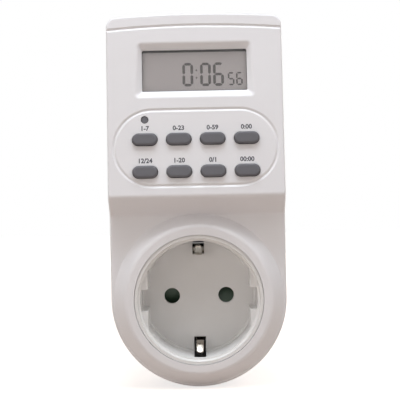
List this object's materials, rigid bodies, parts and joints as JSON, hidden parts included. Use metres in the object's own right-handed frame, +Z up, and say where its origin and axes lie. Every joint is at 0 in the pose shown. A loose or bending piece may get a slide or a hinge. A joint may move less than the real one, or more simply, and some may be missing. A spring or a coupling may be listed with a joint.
{
  "type": "timer socket",
  "caption": "White plug-in digital timer: round pins behind, an earthed round outlet in front, and a sloping panel with display and pill-shaped keys above it.",
  "frame": {"origin": "centre of the plug's face, midway between the two pins, where they leave the plug body", "axes": "+Z up along the housing, +Y out of the plug's face along the pins (into the wall), so the outlet and the panel face -Y; +X to the right seen from the front"},
  "size_m": [0.0604, 0.0758, 0.1277],
  "materials": {
    "white_abs": "fine satin moulded ABS",
    "cream_pbt": "satin moulded PBT",
    "green_nylon": "satin moulded nylon",
    "natural_nylon": "satin moulded nylon",
    "nickel_plate": "nickel plated brass, satin",
    "brass": "drawn brass",
    "spring_steel": "drawn spring steel",
    "zinc_steel": "zinc plated steel",
    "clear_window": "polished clear acrylic",
    "display_glass": "liquid crystal display with grey polarizer",
    "elastomer": "silicone rubber",
    "grey_rubber": "matt silicone rubber",
    "circuit_board": "green solder mask on paper laminate",
    "black_resin": "moulded epoxy",
    "relay_case": "moulded case",
    "capacitor_case": "moulded case",
    "capacitor_sleeve": "shrunk sleeve",
    "varistor_coat": "dipped coating",
    "resistor_coat": "flame-proof coating",
    "brown_wire": "vinyl insulation",
    "blue_wire": "vinyl insulation",
    "grey_ribbon": "vinyl insulation"
  },
  "bodies": {
    "housing": {"front_housing": "white_abs", "rear_housing": "white_abs", "socket_insert": "cream_pbt", "shutter_retainer": "natural_nylon", "contact_carrier": "natural_nylon", "lcd_frame": "natural_nylon", "plug_pin_left": "nickel_plate", "plug_pin_right": "nickel_plate", "earth_bracket_front": "nickel_plate", "earth_bracket_rear": "nickel_plate", "crystal": "nickel_plate", "backup_battery": "nickel_plate", "contact_left": "brass", "contact_right": "brass", "shutter_spring": "spring_steel", "housing_screws": "zinc_steel", "board_screws": "zinc_steel", "shutter_screw": "zinc_steel", "window_lens": "clear_window", "lcd_glass": "display_glass", "zebra_strip": "elastomer", "keypad_mat": "elastomer", "display_board": "circuit_board", "power_board": "circuit_board", "driver_chip": "black_resin", "relay": "relay_case", "film_capacitor": "capacitor_case", "electrolytic_capacitor": "capacitor_sleeve", "varistor": "varistor_coat", "fuse_resistor": "resistor_coat", "diodes": "black_resin", "wire_live_in": "brown_wire", "wire_live_out": "brown_wire", "wire_neutral": "blue_wire", "ribbon_cable": "grey_ribbon"},
    "key_1": {"key_1": "grey_rubber"},
    "key_2": {"key_2": "grey_rubber"},
    "key_3": {"key_3": "grey_rubber"},
    "key_4": {"key_4": "grey_rubber"},
    "key_5": {"key_5": "grey_rubber"},
    "key_6": {"key_6": "grey_rubber"},
    "key_7": {"key_7": "grey_rubber"},
    "key_8": {"key_8": "grey_rubber"},
    "reset_key": {"reset_key": "grey_rubber"},
    "shutter": {"shutter": "green_nylon"}
  },
  "joints": [
    {"name": "key_1_press", "type": "slide", "parent": "housing", "child": "key_1", "axis": [0, 0.9903, -0.1392], "range_m": [0, 0.0008], "stiffness_N_per_m": 150},
    {"name": "key_2_press", "type": "slide", "parent": "housing", "child": "key_2", "axis": [0, 0.9903, -0.1392], "range_m": [0, 0.0008], "stiffness_N_per_m": 150},
    {"name": "key_3_press", "type": "slide", "parent": "housing", "child": "key_3", "axis": [0, 0.9903, -0.1392], "range_m": [0, 0.0008], "stiffness_N_per_m": 150},
    {"name": "key_4_press", "type": "slide", "parent": "housing", "child": "key_4", "axis": [0, 0.9903, -0.1392], "range_m": [0, 0.0008], "stiffness_N_per_m": 150},
    {"name": "key_5_press", "type": "slide", "parent": "housing", "child": "key_5", "axis": [0, 0.9903, -0.1392], "range_m": [0, 0.0008], "stiffness_N_per_m": 150},
    {"name": "key_6_press", "type": "slide", "parent": "housing", "child": "key_6", "axis": [0, 0.9903, -0.1392], "range_m": [0, 0.0008], "stiffness_N_per_m": 150},
    {"name": "key_7_press", "type": "slide", "parent": "housing", "child": "key_7", "axis": [0, 0.9903, -0.1392], "range_m": [0, 0.0008], "stiffness_N_per_m": 150},
    {"name": "key_8_press", "type": "slide", "parent": "housing", "child": "key_8", "axis": [0, 0.9903, -0.1392], "range_m": [0, 0.0008], "stiffness_N_per_m": 150},
    {"name": "reset_key_press", "type": "slide", "parent": "housing", "child": "reset_key", "axis": [0, 0.9903, -0.1392], "range_m": [0, 0.0005], "stiffness_N_per_m": 150},
    {"name": "shutter_turn", "type": "hinge", "parent": "housing", "child": "shutter", "pos_m": [0, -0.0325, 0], "axis": [0, 1, 0], "range_deg": [0, 38], "stiffness_Nm_per_rad": 0.004, "deforming": ["shutter_spring"]}
  ]
}
